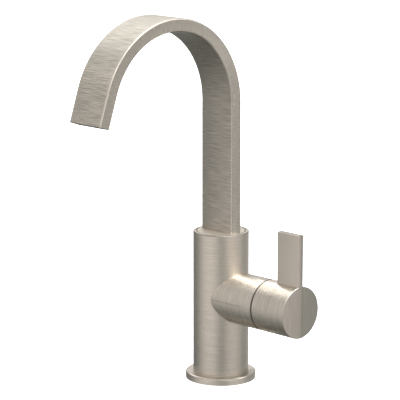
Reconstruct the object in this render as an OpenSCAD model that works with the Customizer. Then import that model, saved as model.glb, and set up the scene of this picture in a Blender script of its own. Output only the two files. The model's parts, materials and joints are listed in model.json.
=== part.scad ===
// Tall basin mixer with a swivelling ribbon spout and a side lever.
// Origin: on the column's axis at the deck plane. +Z is up, the spout reaches
// towards -Y and the handle's axis points along +X. All sizes are millimetres.

/* [Column] */
// Diameter of the column
column_d = 45; // [44:0.5:52]
// Height of the column's top face above the deck
column_top = 122; // [118:1:150]
// Rounding of the column's top edge
column_edge = 0.6; // [0.3:0.1:1]
// Wall round the open well under the column
column_wall = 4; // [3:0.5:5]
// Height of the cartridge and handle axis above the deck
handle_height = 69.5; // [64:0.5:74]

/* [Base flange] */
// Diameter of the base flange
flange_d = 57; // [54:1:66]
// Thickness of the base flange
flange_t = 5.5; // [5:0.5:8]
// Rounding of the flange's top edge
flange_edge = 1.2; // [0.4:0.1:1.5]
// Hole through the flange for the hoses and the stud
flange_hole_d = 35; // [32:0.5:36]
// Depth of the seat that the column's foot drops into
foot_seat = 2.5; // [2:0.25:3]
// Wall of the column's foot where it sits in the flange
foot_wall = 2; // [1.5:0.25:2.5]
// Width of the sealing ring under the flange
gasket_w = 5; // [3:0.5:5.5]
// Thickness of the sealing ring under the flange
gasket_t = 1.3; // [1:0.1:2]

/* [Water ports] */
// Wall radius of each hose port, the core of an M10 x 1 thread
port_r = 4.5; // [4:0.1:5]
// Depth of each hose port's thread
port_depth = 11; // [8:0.5:14]
// Distance between the two hose ports
port_gap = 16; // [15:0.5:18]
// Wall radius of the stud hole, the core of an M8 thread
stud_r = 3.4; // [2.5:0.1:4]
// Depth of the stud hole's thread
stud_depth = 16; // [10:1:20]
// Distance from the column's axis to the stud hole, away from the handle
stud_offset = 9.5; // [9:0.5:10.5]
// Distance from the column's axis to the hose ports, towards the handle
port_offset = 4; // [3:0.5:5]
// Height of the port bosses' ends above the deck
port_mouth = 14; // [8:1:18]
// Radius of the inlet waterways
inlet_r = 3; // [2.5:0.1:3.5]
// Radius of the outlet waterway
outlet_r = 3.5; // [3:0.1:4]

/* [Cartridge] */
// Diameter of the cartridge
cartridge_d = 35; // [34:0.5:37]
// Depth of the cartridge's chamber from the side boss's end
chamber_depth = 38.5; // [36.5:0.25:39]
// Wall of the side boss outside the thread
boss_wall = 2.2; // [1.8:0.1:3]
// Distance from the column's axis to the side boss's end
boss_reach = 52.5; // [48:0.5:60]
// Thickness of the cartridge's base
base_t = 5; // [4.5:0.25:6]
// Thickness of the fixed ceramic disc
fixed_disc_t = 3; // [2.5:0.25:4]
// Thickness of the turning ceramic disc
moving_disc_t = 4; // [3.5:0.25:5]
// Thickness of the plate that drives the turning disc
carrier_t = 5; // [4.5:0.25:6]
// Diameter of the ceramic discs
disc_d = 27.6; // [27:0.2:28.4]
// Diameter of the stem
stem_d = 12; // [11:0.25:13]
// Length of the threaded nut that holds the cartridge
nut_len = 11; // [8:0.5:13]
// Thickness of one seal ring's cord
seal_cord = 1.4; // [1.2:0.1:1.6]

/* [Handle] */
// Width of the dark groove between the side boss and the handle
groove_w = 1; // [0.8:0.1:2]
// Length of the handle hub along its axis
hub_len = 33.5; // [32:0.5:40]
// Wall of the handle hub round its hollow
hub_wall = 4.25; // [3.5:0.25:5]
// Thickness of the hub's end wall
hub_end = 7; // [5:0.5:9]
// Width of the lever blade along the handle's axis
blade_w = 23; // [18:0.5:26]
// Thickness of the lever blade
blade_t = 5; // [4:0.25:6]
// Height of the blade's top above the handle's axis
blade_reach = 62; // [45:1:80]
// Depth of the blade's seat in the hub
blade_seat = 2.8; // [2:0.2:3]
// Rounding of the blade's edges
blade_edge = 0.4; // [0.2:0.1:0.8]
// Depth of the blade's tang, which runs down across the hub's end face
tang_depth = 3; // [2:0.25:4]
// Travel of the handle from closed to hot, in degrees
handle_travel = 100; // [90:5:110]
// Number of teeth on the stem's spline
spline_teeth = 20; // [16:1:24]
// Diameter of the grub screws
screw_d = 5; // [4:0.5:5]

/* [Spout] */
// Width of the ribbon spout
ribbon_w = 34; // [30:0.5:35]
// Thickness of the ribbon spout
ribbon_t = 10.5; // [9.5:0.25:12]
// Wall of the ribbon spout
ribbon_wall = 1; // [0.8:0.1:1.1]
// Rounding of the ribbon's long outer edges
ribbon_edge = 1.2; // [1.2:0.1:2]
// Radius of the bend along the ribbon's middle
bend_r = 68; // [50:0.5:80]
// Height at which the bend starts
bend_start = 226.75; // [180:0.25:260]
// Angle of the bend
bend_angle = 161; // [140:1:175]
// Length of the straight end after the bend
tip_len = 26.5; // [22:0.5:40]

/* [Swivel] */
// Diameter of the swivel disc that lies flush in the column's top
swivel_d = 39; // [38:0.5:41]
// Thickness of the swivel disc
swivel_t = 10; // [9:0.5:12]
// Depth of the pocket that the ribbon stands in
pocket_depth = 6; // [4:0.5:7]
// Diameter of the swivel spigot
spigot_d = 26; // [24:0.5:26.5]
// Length of the swivel spigot below the disc
spigot_len = 20; // [19:0.5:22]
// Thickness of the washer that the swivel disc turns on
washer_t = 0.8; // [0.5:0.1:1.2]
// Travel of the spout to each side, in degrees
swivel_travel = 60; // [30:5:75]

/* [Outlet] */
// Length of the outlet frame inside the spout's end
outlet_len = 12; // [10:0.5:16]
// Wall of the outlet frame
outlet_wall = 0.9; // [0.7:0.1:1.2]
// Number of flow straightener cells across the outlet
outlet_cols = 12; // [8:1:14]
// Number of flow straightener cells through the outlet's thickness
outlet_rows = 2; // [2:1:3]

/* [Hidden] */
$fn = 72;

// Clearances
fit_gap = 0.05;       // between pieces that seat in each other
turn_gap = 0.06;      // round a piece that turns
disc_gap = 0.35;      // round the swivel disc, a fine line in the column's top
film = 0.02;          // between the two ceramic discs, and a seal and its bore
face_gap = 0.1;       // between the handle hub and its glide ring
past = 1;             // how far a cut runs past a face
seam = 0.1;           // beside the blade's tang, a fine line in the hub's end face
slot_step = 0.1;      // how much narrower a curved slot's round ends are

nickel = [0.68, 0.65, 0.61];
brass = [0.80, 0.68, 0.38];
rubber = [0.12, 0.12, 0.12];
plastic = [0.86, 0.86, 0.83];
ceramic = [0.93, 0.93, 0.95];
steel = [0.72, 0.73, 0.75];

column_r = column_d / 2;
well_r = column_r - column_wall;
foot_r = well_r + foot_wall;
foot_z = flange_t - foot_seat;

cartridge_r = cartridge_d / 2;
chamber_r = cartridge_r + 2 * fit_gap;
thread_depth = 0.95;
thread_r = chamber_r + thread_depth;
boss_r = thread_r + boss_wall;
chamber_floor = boss_reach - chamber_depth;
base_top = chamber_floor + base_t;
gasket_pocket = 1;
fixed_top = base_top + fixed_disc_t;
moving_foot = fixed_top + film;
moving_top = moving_foot + moving_disc_t;
carrier_top = moving_top + carrier_t;
collar_t = 1.5;
collar_top = carrier_top + collar_t;
housing_roof = 3;
shoulder = collar_top + turn_gap + housing_roof;
neck_len = 5;
neck_top = shoulder + neck_len;
shoulder_w = 3.5;     // width of the shoulder that the nut presses on
neck_r = cartridge_r - shoulder_w;
disc_r = disc_d / 2;
stem_r = stem_d / 2;
disc_play = 0.15;
housing_hollow_r = disc_r + disc_play;
stem_groove = seal_cord - film;
stem_seal_in = 0.6;   // from the shoulder in to one stem seal, and out to the other
stem_seal_out = 2.6;
key_w = 3;
key_depth = 1.2;
key_root = 0.6;

// Locating pins of the cartridge, and the pockets in its base
pin_r = 1.5;
pin_len = 2.5;
pin_bearing = 50;
pin_inset = 4;
port_pocket = 2.6;    // depth of the kidney pockets above the ports

// Turning disc, the dogs that drive it, and the stem's foot
disc_inset = 0.8;
lobe_roof = 1.4;
dog_pin_r = 1.5;
dog_pin_len = 0.8;
dog_pin_inset = 4;
foot_w = 7;
foot_l = 10;
foot_h = 2.5;
carrier_inset = 0.6;
carrier_notch_r = 0.8;
collar_reach = 3;

// Stop ring and the tab that turns in its gap
ring_t = 2.5;
ring_top = neck_top + ring_t;
stop_wall_h = 3;
stop_wall_w = 2.4;
ring_step = 0.3;
ring_inset = 0.8;
ring_r = neck_r - ring_inset;
tab_angle = 20;
tab_play = 1;
tab_gap = 0.2;

// Water ways: the inlets stand below the handle's axis, one on each side
inlet_drop = 5.5;
inlet_y = port_gap / 2;
inlet_pitch_r = sqrt(inlet_drop * inlet_drop + inlet_y * inlet_y);
inlet_bearing = atan2(inlet_y, inlet_drop);
kidney_w = 4;
kidney_end = asin(kidney_w / 2 / inlet_pitch_r);
kidney_from = 4;
kidney_to = 50;
lobe_half = 22;
lobe_closed = 75;

port_wall = 2;
boss_post_r = port_r + port_wall;
web_w = 8;
chamber_wall = 5;     // between the cartridge chamber and the well
well_roof = handle_height - chamber_r - chamber_wall;

// Handle
hub_r = boss_r;
hub_start = boss_reach + groove_w;
hub_stop = hub_start + hub_len;
hub_hollow_r = hub_r - hub_wall;
hub_edge = 0.5;
adapter_wall = 3;
adapter_seat = 11;    // how deep the adapter sits in the hub's socket
socket_wall = 3.5;
socket_inset = 2.5;
stem_play = 2;
spline_step = 0.6;
spline_tooth = 0.8;
screw_inset = 4;
spline_tip_r = stem_r - spline_step;
spline_root_r = spline_tip_r - spline_tooth;
adapter_r = spline_tip_r + adapter_wall;
socket_r = adapter_r + socket_wall;
socket_start = hub_start + socket_inset;
adapter_start = ring_top + tab_gap;
adapter_stop = socket_start + adapter_seat;
stem_stop = adapter_stop - stem_play;
handle_screw_x = socket_start + screw_inset;
screw_r = screw_d / 2;
hex_across = screw_d / 2;
hex_depth = 2.2;
screw_bottom = spline_tip_r + face_gap;
handle_screw_len = 6;
cap_t = 3;
blade_foot = hub_r - blade_seat;
tang_inset = 0.06;
tang_root = 1;
tang_w = blade_t - 2 * tang_inset;
tang_slot_w = tang_w + 2 * seam;

// Spout
disc_edge = 0.3;
disc_foot = column_top - swivel_t;
washer_foot = disc_foot - washer_t;
spigot_foot = disc_foot - spigot_len;
spigot_play = 1;
way_step = 0.5;
bore_foot = spigot_foot - spigot_play;
spout_way_r = outlet_r + way_step;
swivel_r = swivel_d / 2;
spigot_r = spigot_d / 2;
bore_r = spigot_r + turn_gap;
spout_cord = 2;
spout_groove = spout_cord - film;
ribbon_foot = column_top - pocket_depth;
stop_drop = 10.5;     // from the disc's underside down to the stop screw's axis
seal_rise = 6;        // from there up to the upper seal
seal_drop = 4.6;      // and down to the lower one
bush_drop = 2.4;
stop_z = disc_foot - stop_drop;
seal_high = stop_z + seal_rise;
seal_low = stop_z - seal_drop;
bush_z = disc_foot - bush_drop;
bush_t = 1.2;
bush_h = 2;
dog_r = 1.5;
dog_len = 1.8;
slot_play = 0.2;
dog_play = 0.3;
slot_depth = dog_len + dog_play;
slot_extra = asin((dog_r + slot_play) / (spigot_r - slot_depth));
stop_screw_inset = 1;
stop_screw_out = column_r - stop_screw_inset;

// Steps of the ribbon's bend and of each rounded edge
bend_steps = 60;
corner_steps = 4;

// Outlet: sizes of the hollow at the spout's end
hollow_w = ribbon_w - 2 * ribbon_wall;
hollow_t = ribbon_t - 2 * ribbon_wall;
hollow_edge = ribbon_edge - ribbon_wall;
frame_recess = 0.6;
seal_t = 1.2;
screen_t = 0.5;
screen_bar = 0.5;
grid_len = 7;
grid_bar = 0.45;
ledge = 0.8;
frame_w = hollow_w - 2 * fit_gap;
frame_t = hollow_t - 2 * fit_gap;
grid_w = frame_w - 2 * outlet_wall;
grid_t = frame_t - 2 * outlet_wall;

// A ring or tube standing on z = 0
module ring(outer, inner, h) {
    difference() {
        cylinder(r = outer, h = h);
        translate([0, 0, -past]) cylinder(r = inner, h = h + 2 * past);
    }
}

// A seal ring of round cord that lies in a groove, centred on z = 0
module cord_ring(outer, cord) {
    rotate_extrude() translate([outer - cord / 2, 0]) circle(d = cord - film);
}

// A round post whose top outer edge is rounded
module edged_post(r, h, edge) {
    rotate_extrude() {
        square([r - edge, h]);
        square([r, h - edge]);
        translate([r - edge, h - edge]) circle(r = edge);
    }
}

// A rectangle with rounded corners, centred, across x and along y
module soft_rect(w, l, edge) {
    square([w - 2 * edge, l], center = true);
    square([w, l - 2 * edge], center = true);
    for (sx = [-1, 1], sy = [-1, 1])
        translate([sx * (w / 2 - edge), sy * (l / 2 - edge)]) circle(r = edge, $fn = 32);
}

// A curved slot of width w with round ends, open from one angle to another.
// Its ends are a little narrower than the slot, so that no two walls only touch.
module arc_slot(r, w, from, to, h) {
    end = asin(w / 2 / r);
    rotate([0, 0, from + end]) rotate_extrude(angle = to - from - 2 * end)
        translate([r - w / 2, 0]) square([w, h]);
    for (a = [from + end, to - end]) rotate([0, 0, a]) translate([r, 0, 0])
        cylinder(d = w - slot_step, h = h, $fn = 32);
}

// Puts children on the handle's axis, x millimetres from the column's axis.
// Their z axis then points along the handle, and their x axis points down.
module on_handle(x) {
    translate([x, 0, handle_height]) rotate([0, 90, 0]) children();
}

// Puts children at each inlet, seen along the handle's axis
module at_inlets() {
    for (side = [-1, 1]) translate([inlet_drop, side * inlet_y, 0]) children();
}

// Puts children at each locating pin of the cartridge
module at_pins() {
    for (side = [-1, 1]) rotate([0, 0, 180 + side * pin_bearing])
        translate([cartridge_r - pin_inset, 0, 0]) children();
}

// The two kidney openings, one on each side of the downward direction
module kidneys(from, to, h) {
    for (side = [0, 1]) mirror([0, side, 0]) arc_slot(inlet_pitch_r, kidney_w, from, to, h);
}

// Column with its side boss, its water ways and its open well below

module well_posts() {
    linear_extrude(well_roof - port_mouth + past) {
        for (side = [-1, 1]) translate([port_offset, side * inlet_y]) circle(r = boss_post_r);
        translate([-stud_offset, 0]) circle(r = boss_post_r);
        translate([port_offset - web_w / 2, -inlet_y]) square([web_w, port_gap]);
        translate([-stud_offset, -web_w / 2]) square([stud_offset + port_offset, web_w]);
    }
}

module column_outside() {
    translate([0, 0, flange_t]) edged_post(column_r, column_top - flange_t, column_edge);
    translate([0, 0, foot_z]) cylinder(r = foot_r, h = foot_seat + past);
    on_handle(0) edged_post(boss_r, boss_reach, hub_edge);
}

module column_cartridge_seat() {
    on_handle(chamber_floor) cylinder(r = chamber_r, h = boss_reach);
    on_handle(shoulder - 2) cylinder(r = thread_r, h = boss_reach);
    on_handle(port_offset) at_inlets() cylinder(r = inlet_r, h = chamber_floor);
    on_handle(0) cylinder(r = outlet_r, h = chamber_floor + past);
    on_handle(chamber_floor - pin_len - face_gap) at_pins() cylinder(r = pin_r, h = pin_len + past);
}

module column_swivel_seat() {
    translate([0, 0, washer_foot]) cylinder(r = swivel_r + disc_gap, h = column_top);
    translate([0, 0, bore_foot]) cylinder(r = bore_r, h = column_top);
    translate([0, 0, handle_height]) cylinder(r = outlet_r, h = column_top - handle_height);
    translate([0, 0, stop_z]) rotate([-90, 0, 0]) cylinder(r = screw_r + fit_gap, h = column_d);
}

module column_ports() {
    for (side = [-1, 1]) translate([port_offset, side * inlet_y, 0]) {
        cylinder(r = port_r, h = port_mouth + port_depth);
        cylinder(r = inlet_r, h = handle_height - inlet_drop + inlet_r);
    }
    translate([-stud_offset, 0, 0]) cylinder(r = stud_r, h = port_mouth + stud_depth);
}

module column() {
    color(nickel) difference() {
        column_outside();
        difference() {
            cylinder(r = well_r, h = well_roof);
            translate([0, 0, port_mouth]) well_posts();
        }
        column_ports();
        column_cartridge_seat();
        column_swivel_seat();
    }
}

// Base flange, its seal, and what closes the side boss

module base_flange() {
    gasket_r = flange_d / 2 - (flange_d / 2 - foot_r - gasket_w) / 2;
    color(nickel) difference() {
        edged_post(flange_d / 2, flange_t, flange_edge);
        translate([0, 0, -past]) cylinder(d = flange_hole_d, h = flange_t + 2 * past);
        translate([0, 0, foot_z]) cylinder(r = foot_r + fit_gap, h = flange_t);
        translate([0, 0, -past]) ring(gasket_r + fit_gap, gasket_r - gasket_w - fit_gap, gasket_t + past);
    }
}

module deck_gasket() {
    gasket_r = flange_d / 2 - (flange_d / 2 - foot_r - gasket_w) / 2;
    color(rubber) ring(gasket_r, gasket_r - gasket_w, gasket_t);
}

module cartridge_nut() {
    notch_w = 4;
    notch_h = 2.5;
    neck_play = 0.3;
    color(brass) on_handle(shoulder) difference() {
        ring(thread_r - fit_gap, neck_r + neck_play, nut_len);
        for (a = [0:90:270]) rotate([0, 0, a])
            translate([neck_r, -notch_w / 2, nut_len - notch_h]) cube([cartridge_r, notch_w, notch_h + past]);
    }
}

module glide_ring() {
    lip_len = 2.5;
    lip_wall = 1.5;
    rim_inset = 0.3;
    color(rubber) {
        on_handle(boss_reach - lip_len) ring(thread_r - fit_gap, thread_r - lip_wall, lip_len);
        on_handle(boss_reach) ring(boss_r - rim_inset, thread_r - lip_wall, groove_w - face_gap);
    }
}

// Cartridge: a base with three ports, a fixed and a turning ceramic disc,
// the plate and stem that turn it, and the housing that holds them

module cartridge_base() {
    color(plastic) on_handle(chamber_floor) difference() {
        union() {
            cylinder(r = cartridge_r, h = base_t);
            translate([0, 0, -pin_len]) at_pins() cylinder(r = pin_r - fit_gap, h = pin_len + past);
        }
        translate([0, 0, base_t - gasket_pocket]) cylinder(r = disc_r + fit_gap, h = base_t);
        translate([0, 0, base_t - port_pocket]) kidneys(kidney_from, inlet_bearing + kidney_end, base_t);
        translate([0, 0, -past]) at_inlets() cylinder(r = inlet_r, h = base_t - port_pocket + 2 * past);
        translate([0, 0, -past]) cylinder(r = outlet_r, h = base_t + 2 * past);
        translate([0, 0, -past]) at_inlets()
            cylinder(r = inlet_r + seal_cord + fit_gap, h = past + seal_cord);
        translate([0, 0, -past]) cylinder(r = outlet_r + seal_cord + fit_gap, h = past + seal_cord);
    }
}

module port_seals() {
    color(rubber) on_handle(chamber_floor + seal_cord / 2) {
        at_inlets() cord_ring(inlet_r + seal_cord, seal_cord);
        cord_ring(outlet_r + seal_cord, seal_cord);
    }
}

module disc_gasket() {
    color(rubber) on_handle(base_top - gasket_pocket) difference() {
        cylinder(r = disc_r, h = gasket_pocket);
        translate([0, 0, -past]) kidneys(kidney_from, kidney_to, gasket_pocket + 2 * past);
        translate([0, 0, -past]) cylinder(r = outlet_r, h = gasket_pocket + 2 * past);
    }
}

// Two keys of the housing hold the fixed disc by the notches in its rim
module disc_keys(w, depth, h) {
    for (a = [90, 270]) rotate([0, 0, a]) translate([disc_r - depth, -w / 2, 0])
        cube([depth + key_root, w, h]);
}

module fixed_disc() {
    color(ceramic) on_handle(base_top) difference() {
        cylinder(r = disc_r, h = fixed_disc_t);
        translate([0, 0, -past]) kidneys(kidney_from, kidney_to, fixed_disc_t + 2 * past);
        translate([0, 0, -past]) cylinder(r = outlet_r, h = fixed_disc_t + 2 * past);
        translate([0, 0, -past]) disc_keys(key_w, key_depth, fixed_disc_t + 2 * past);
    }
}

module cartridge_housing() {
    color(plastic) on_handle(base_top) {
        difference() {
            union() {
                cylinder(r = cartridge_r, h = shoulder - base_top);
                cylinder(r = neck_r, h = neck_top - base_top);
            }
            translate([0, 0, -past])
                cylinder(r = housing_hollow_r, h = collar_top + turn_gap - base_top + past);
            cylinder(r = stem_r + turn_gap, h = neck_top);
        }
        disc_keys(key_w - 2 * fit_gap, key_depth - fit_gap, fixed_disc_t);
    }
}

// The lobe of the turning disc: always open to the middle port, it sweeps past
// the cold kidney and then the hot one
module moving_disc() {
    rim_r = disc_r - disc_inset;
    pocket_h = moving_disc_t - lobe_roof;
    color(ceramic) on_handle(moving_foot) difference() {
        cylinder(r = rim_r, h = moving_disc_t);
        translate([0, 0, -past]) {
            arc_slot(inlet_pitch_r, kidney_w, -lobe_closed - lobe_half, -lobe_closed + lobe_half,
                pocket_h + past);
            cylinder(r = outlet_r, h = pocket_h + past);
            rotate([0, 0, -lobe_closed]) translate([0, -kidney_w / 2, 0])
                cube([inlet_pitch_r, kidney_w, pocket_h + past]);
        }
        translate([0, 0, moving_disc_t - dog_pin_len - face_gap]) carrier_dogs(dog_pin_r, dog_pin_len + past);
    }
}

module carrier_dogs(r, h) {
    for (a = [0:120:240]) rotate([0, 0, a]) translate([disc_r - dog_pin_inset, 0, 0])
        cylinder(r = r, h = h, $fn = 32);
}

module stem_foot(gap) {
    translate([-foot_l / 2 - gap, -foot_w / 2 - gap, 0]) cube([foot_l + 2 * gap, foot_w + 2 * gap, foot_h]);
}

module disc_carrier() {
    rim_r = disc_r - carrier_inset;
    color(plastic) on_handle(moving_top) difference() {
        union() {
            cylinder(r = rim_r, h = carrier_t);
            translate([0, 0, -dog_pin_len]) carrier_dogs(dog_pin_r - fit_gap, dog_pin_len + past);
        }
        translate([0, 0, carrier_t - foot_h]) stem_foot(fit_gap);
        for (a = [0:30:330]) rotate([0, 0, a]) translate([rim_r, 0, carrier_notch_r])
            cylinder(r = carrier_notch_r, h = carrier_t, $fn = 16);
    }
}

function spline_points(tip, root) = [for (i = [0:4 * spline_teeth - 1])
    let (a = 90 * i / spline_teeth, r = (i % 4 < 2) ? tip : root) [r * cos(a), r * sin(a)]];

module cartridge_stem() {
    spline_inset = 0.5;
    spline_start = neck_top + spline_inset;
    color(brass) difference() {
        union() {
            on_handle(carrier_top - foot_h + fit_gap) stem_foot(0);
            on_handle(carrier_top) cylinder(r = stem_r + collar_reach, h = collar_t);
            on_handle(carrier_top) cylinder(r = stem_r, h = spline_start - carrier_top);
            on_handle(spline_start - past) linear_extrude(stem_stop - spline_start + past)
                polygon(spline_points(spline_tip_r, spline_root_r));
        }
        for (x = stem_seal_places()) on_handle(x - stem_groove / 2 - film)
            ring(stem_r + past, stem_r - stem_groove + film, stem_groove + 2 * film);
    }
}

function stem_seal_places() = [shoulder - stem_seal_in, shoulder + stem_seal_out];

module stem_seals() {
    color(rubber) for (x = stem_seal_places()) on_handle(x) cord_ring(stem_r + turn_gap - film, seal_cord);
}

module stop_ring() {
    ring_play = 1;
    free = handle_travel + tab_angle + 2 * tab_play;
    color(plastic) {
        on_handle(neck_top) ring(ring_r, stem_r + ring_play, ring_t);
        on_handle(ring_top) rotate([0, 0, 180 - tab_angle / 2 - tab_play + free])
            rotate_extrude(angle = 360 - free) translate([ring_r - ring_step - stop_wall_w, 0])
            square([stop_wall_w, stop_wall_h]);
    }
}

// Handle: hub, blade, and the splined adapter between the hub and the stem

module handle_adapter() {
    color(plastic) on_handle(adapter_start) difference() {
        union() {
            cylinder(r = adapter_r, h = adapter_stop - adapter_start);
            rotate([0, 0, 180 - tab_angle / 2]) rotate_extrude(angle = tab_angle)
                translate([adapter_r - past, 0])
                square([ring_r - ring_step - adapter_r + past, stop_wall_h - 2 * tab_gap]);
        }
        translate([0, 0, -past]) linear_extrude(adapter_stop)
            polygon(spline_points(spline_tip_r + fit_gap, spline_root_r + fit_gap));
        translate([0, 0, handle_screw_x - adapter_start]) rotate([0, 90, 0])
            cylinder(r = screw_r + fit_gap, h = hub_r);
    }
}

module blade_plate() {
    intersection() {
        translate([hub_stop - blade_w / 2, 0, handle_height + blade_foot]) linear_extrude(blade_reach)
            soft_rect(blade_w, blade_t, blade_edge);
        translate([hub_stop + past, 0, handle_height]) rotate([0, -90, 0])
            linear_extrude(blade_w + 2 * past) translate([blade_reach / 2, 0])
            soft_rect(blade_reach, blade_t, blade_edge);
    }
}

// The tang runs from the blade's foot down to the hub's far side, and stays just inside both
module blade_tang() {
    intersection() {
        translate([hub_stop - tang_depth, -tang_w / 2, handle_height - hub_r])
            cube([tang_depth - tang_inset, tang_w, hub_r + blade_foot + tang_root]);
        on_handle(hub_start) cylinder(r = hub_r - tang_inset, h = hub_len + past);
    }
}

module handle_hub() {
    color(nickel) difference() {
        on_handle(hub_start) edged_post(hub_r, hub_len, hub_edge);
        difference() {
            on_handle(hub_start - past) cylinder(r = hub_hollow_r, h = hub_len - hub_end + past);
            on_handle(socket_start) cylinder(r = socket_r, h = hub_len);
        }
        on_handle(socket_start - past)
            cylinder(r = adapter_r + fit_gap, h = adapter_stop - socket_start + past);
        on_handle(handle_screw_x) rotate([0, 90, 0]) cylinder(r = screw_r + fit_gap, h = hub_r + past);
        translate([hub_stop - blade_w, -blade_t / 2, handle_height + blade_foot] - fit_gap * [1, 1, 1])
            cube([blade_w + past, blade_t + 2 * fit_gap, hub_r]);
        translate([hub_stop - tang_depth - fit_gap, -tang_slot_w / 2, handle_height - hub_r - past])
            cube([tang_depth + past, tang_slot_w, hub_r + past + blade_foot]);
    }
}

module lever_blade() {
    color(nickel) {
        blade_plate();
        blade_tang();
    }
}

// A grub screw that points along z, with its socket at the top
module grub_screw(len) {
    difference() {
        cylinder(r = screw_r, h = len);
        translate([0, 0, len - hex_depth]) cylinder(d = hex_across / cos(30), h = hex_depth + past, $fn = 6);
    }
}

module handle_screw() {
    color(steel) on_handle(handle_screw_x) rotate([0, 90, 0]) translate([0, 0, screw_bottom])
        grub_screw(handle_screw_len);
}

module screw_cap() {
    color(nickel) intersection() {
        on_handle(handle_screw_x) rotate([0, 90, 0]) translate([0, 0, hub_r - cap_t])
            cylinder(r = screw_r, h = cap_t + past);
        on_handle(hub_start) cylinder(r = hub_r, h = hub_len);
    }
}

// Swivel: the hub that carries the spout, and what it turns and seals on

module spout_slot() {
    translate([0, 0, stop_z - dog_r - slot_play])
        rotate([0, 0, 90 - swivel_travel - slot_extra])
        rotate_extrude(angle = 2 * (swivel_travel + slot_extra)) translate([spigot_r - slot_depth, 0])
        square([slot_depth + past, 2 * (dog_r + slot_play)]);
}

module swivel_hub() {
    color(nickel) difference() {
        union() {
            translate([0, 0, disc_foot]) edged_post(swivel_r, swivel_t, disc_edge);
            translate([0, 0, spigot_foot]) cylinder(r = spigot_r, h = spigot_len + past);
        }
        translate([0, 0, ribbon_foot - fit_gap]) linear_extrude(pocket_depth + past)
            soft_rect(ribbon_w + 2 * fit_gap, ribbon_t + 2 * fit_gap, ribbon_edge);
        translate([0, 0, spigot_foot - past]) cylinder(r = spout_way_r, h = spigot_len + swivel_t);
        for (z = [seal_low, seal_high]) translate([0, 0, z - spout_cord / 2])
            ring(spigot_r + past, spigot_r - spout_groove, spout_cord);
        translate([0, 0, bush_z - bush_h / 2 - film])
            ring(spigot_r + past, spigot_r - bush_t, bush_h + 2 * film);
        spout_slot();
    }
}

module spout_seals() {
    color(rubber) for (z = [seal_low, seal_high]) translate([0, 0, z]) cord_ring(bore_r - film, spout_cord);
}

// Split bearing ring, opened at the back to spring over the spigot
module spout_bush() {
    split = 2;
    color(plastic) translate([0, 0, bush_z - bush_h / 2]) difference() {
        ring(bore_r - film, spigot_r - bush_t + film, bush_h);
        translate([0, -split / 2, -past]) cube([column_r, split, bush_h + 2 * past]);
    }
}

module spout_washer() {
    edge_play = 0.3;
    color(plastic) translate([0, 0, washer_foot])
        ring(swivel_r - edge_play, bore_r + edge_play, washer_t - film);
}

module stop_screw() {
    bore_play = 0.3;
    tip = spigot_r - dog_len;
    thread_end = bore_r + bore_play;
    color(steel) translate([0, 0, stop_z]) rotate([-90, 0, 0]) {
        translate([0, 0, tip]) cylinder(r = dog_r, h = thread_end - tip + past);
        translate([0, 0, thread_end]) grub_screw(stop_screw_out - thread_end);
    }
}

// Ribbon spout: one section carried up, round the bend and down the tip

// The corners of a rectangle with rounded corners, in order round it
function soft_rect_points(w, l, edge) = [for (c = [0:3], i = [0:corner_steps])
    let (a = 90 * (c + i / corner_steps), sx = (c == 0 || c == 3) ? 1 : -1, sy = c < 2 ? 1 : -1)
    [sx * (w / 2 - edge) + edge * cos(a), sy * (l / 2 - edge) + edge * sin(a)]];

// The ribbon's middle line: y, z and how far it has turned at each step
function ribbon_path() = concat(
    [[0, ribbon_foot, 0]],
    [for (i = [0:bend_steps]) let (a = bend_angle * i / bend_steps)
        [bend_r * (cos(a) - 1), bend_start + bend_r * sin(a), a]],
    [[bend_r * (cos(bend_angle) - 1) - tip_len * sin(bend_angle),
        bend_start + bend_r * sin(bend_angle) + tip_len * cos(bend_angle), bend_angle]]);

// A section's points carried to every step of the path
function carried(path, section) = [for (p = path, q = section)
    [q[0], p[0] + q[1] * cos(p[2]), p[1] + q[1] * sin(p[2])]];

// A tube of one wall: an outer and an inner section along the same path
module section_tube(path, outer, inner) {
    n = len(outer);
    rings = len(path);
    all = n * rings;
    skin = [for (k = [0:rings - 2], i = [0:n - 1]) let (j = (i + 1) % n)
        [k * n + i, k * n + j, k * n + n + j, k * n + n + i]];
    lining = [for (f = skin) [f[3] + all, f[2] + all, f[1] + all, f[0] + all]];
    foot = [for (i = [0:n - 1]) let (j = (i + 1) % n) [i, i + all, j + all, j]];
    end = [for (i = [0:n - 1]) let (j = (i + 1) % n)
        [all - n + i, all - n + j, 2 * all - n + j, 2 * all - n + i]];
    triangles = [for (f = concat(skin, lining, foot, end), t = [[2, 1, 0], [3, 2, 0]])
        [f[t[0]], f[t[1]], f[t[2]]]];
    polyhedron(concat(carried(path, outer), carried(path, inner)), triangles);
}

module spout_tube() {
    color(nickel) section_tube(ribbon_path(),
        soft_rect_points(ribbon_w, ribbon_t, ribbon_edge),
        soft_rect_points(hollow_w, hollow_t, hollow_edge));
}

// The plane of the bend: x runs out from its centre, y runs along the ribbon
module in_bend() {
    translate([0, -bend_r, bend_start]) rotate([90, 0, 90]) children();
}

// Puts children at the spout's end, z pointing back up the hollow
module at_outlet(depth) {
    in_bend() rotate([0, 0, bend_angle]) translate([bend_r, tip_len - depth, 0])
        rotate([90, 0, 0]) children();
}

// Outlet: a frame in the spout's end that holds a screen and a flow straightener

module outlet_frame() {
    color(plastic) at_outlet(frame_recess) difference() {
        linear_extrude(outlet_len) soft_rect(frame_t, frame_w, hollow_edge);
        translate([0, 0, ledge]) linear_extrude(outlet_len) square([grid_t, grid_w], center = true);
        translate([0, 0, -past]) linear_extrude(outlet_len)
            square([grid_t - ledge, grid_w - ledge], center = true);
    }
}

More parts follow.
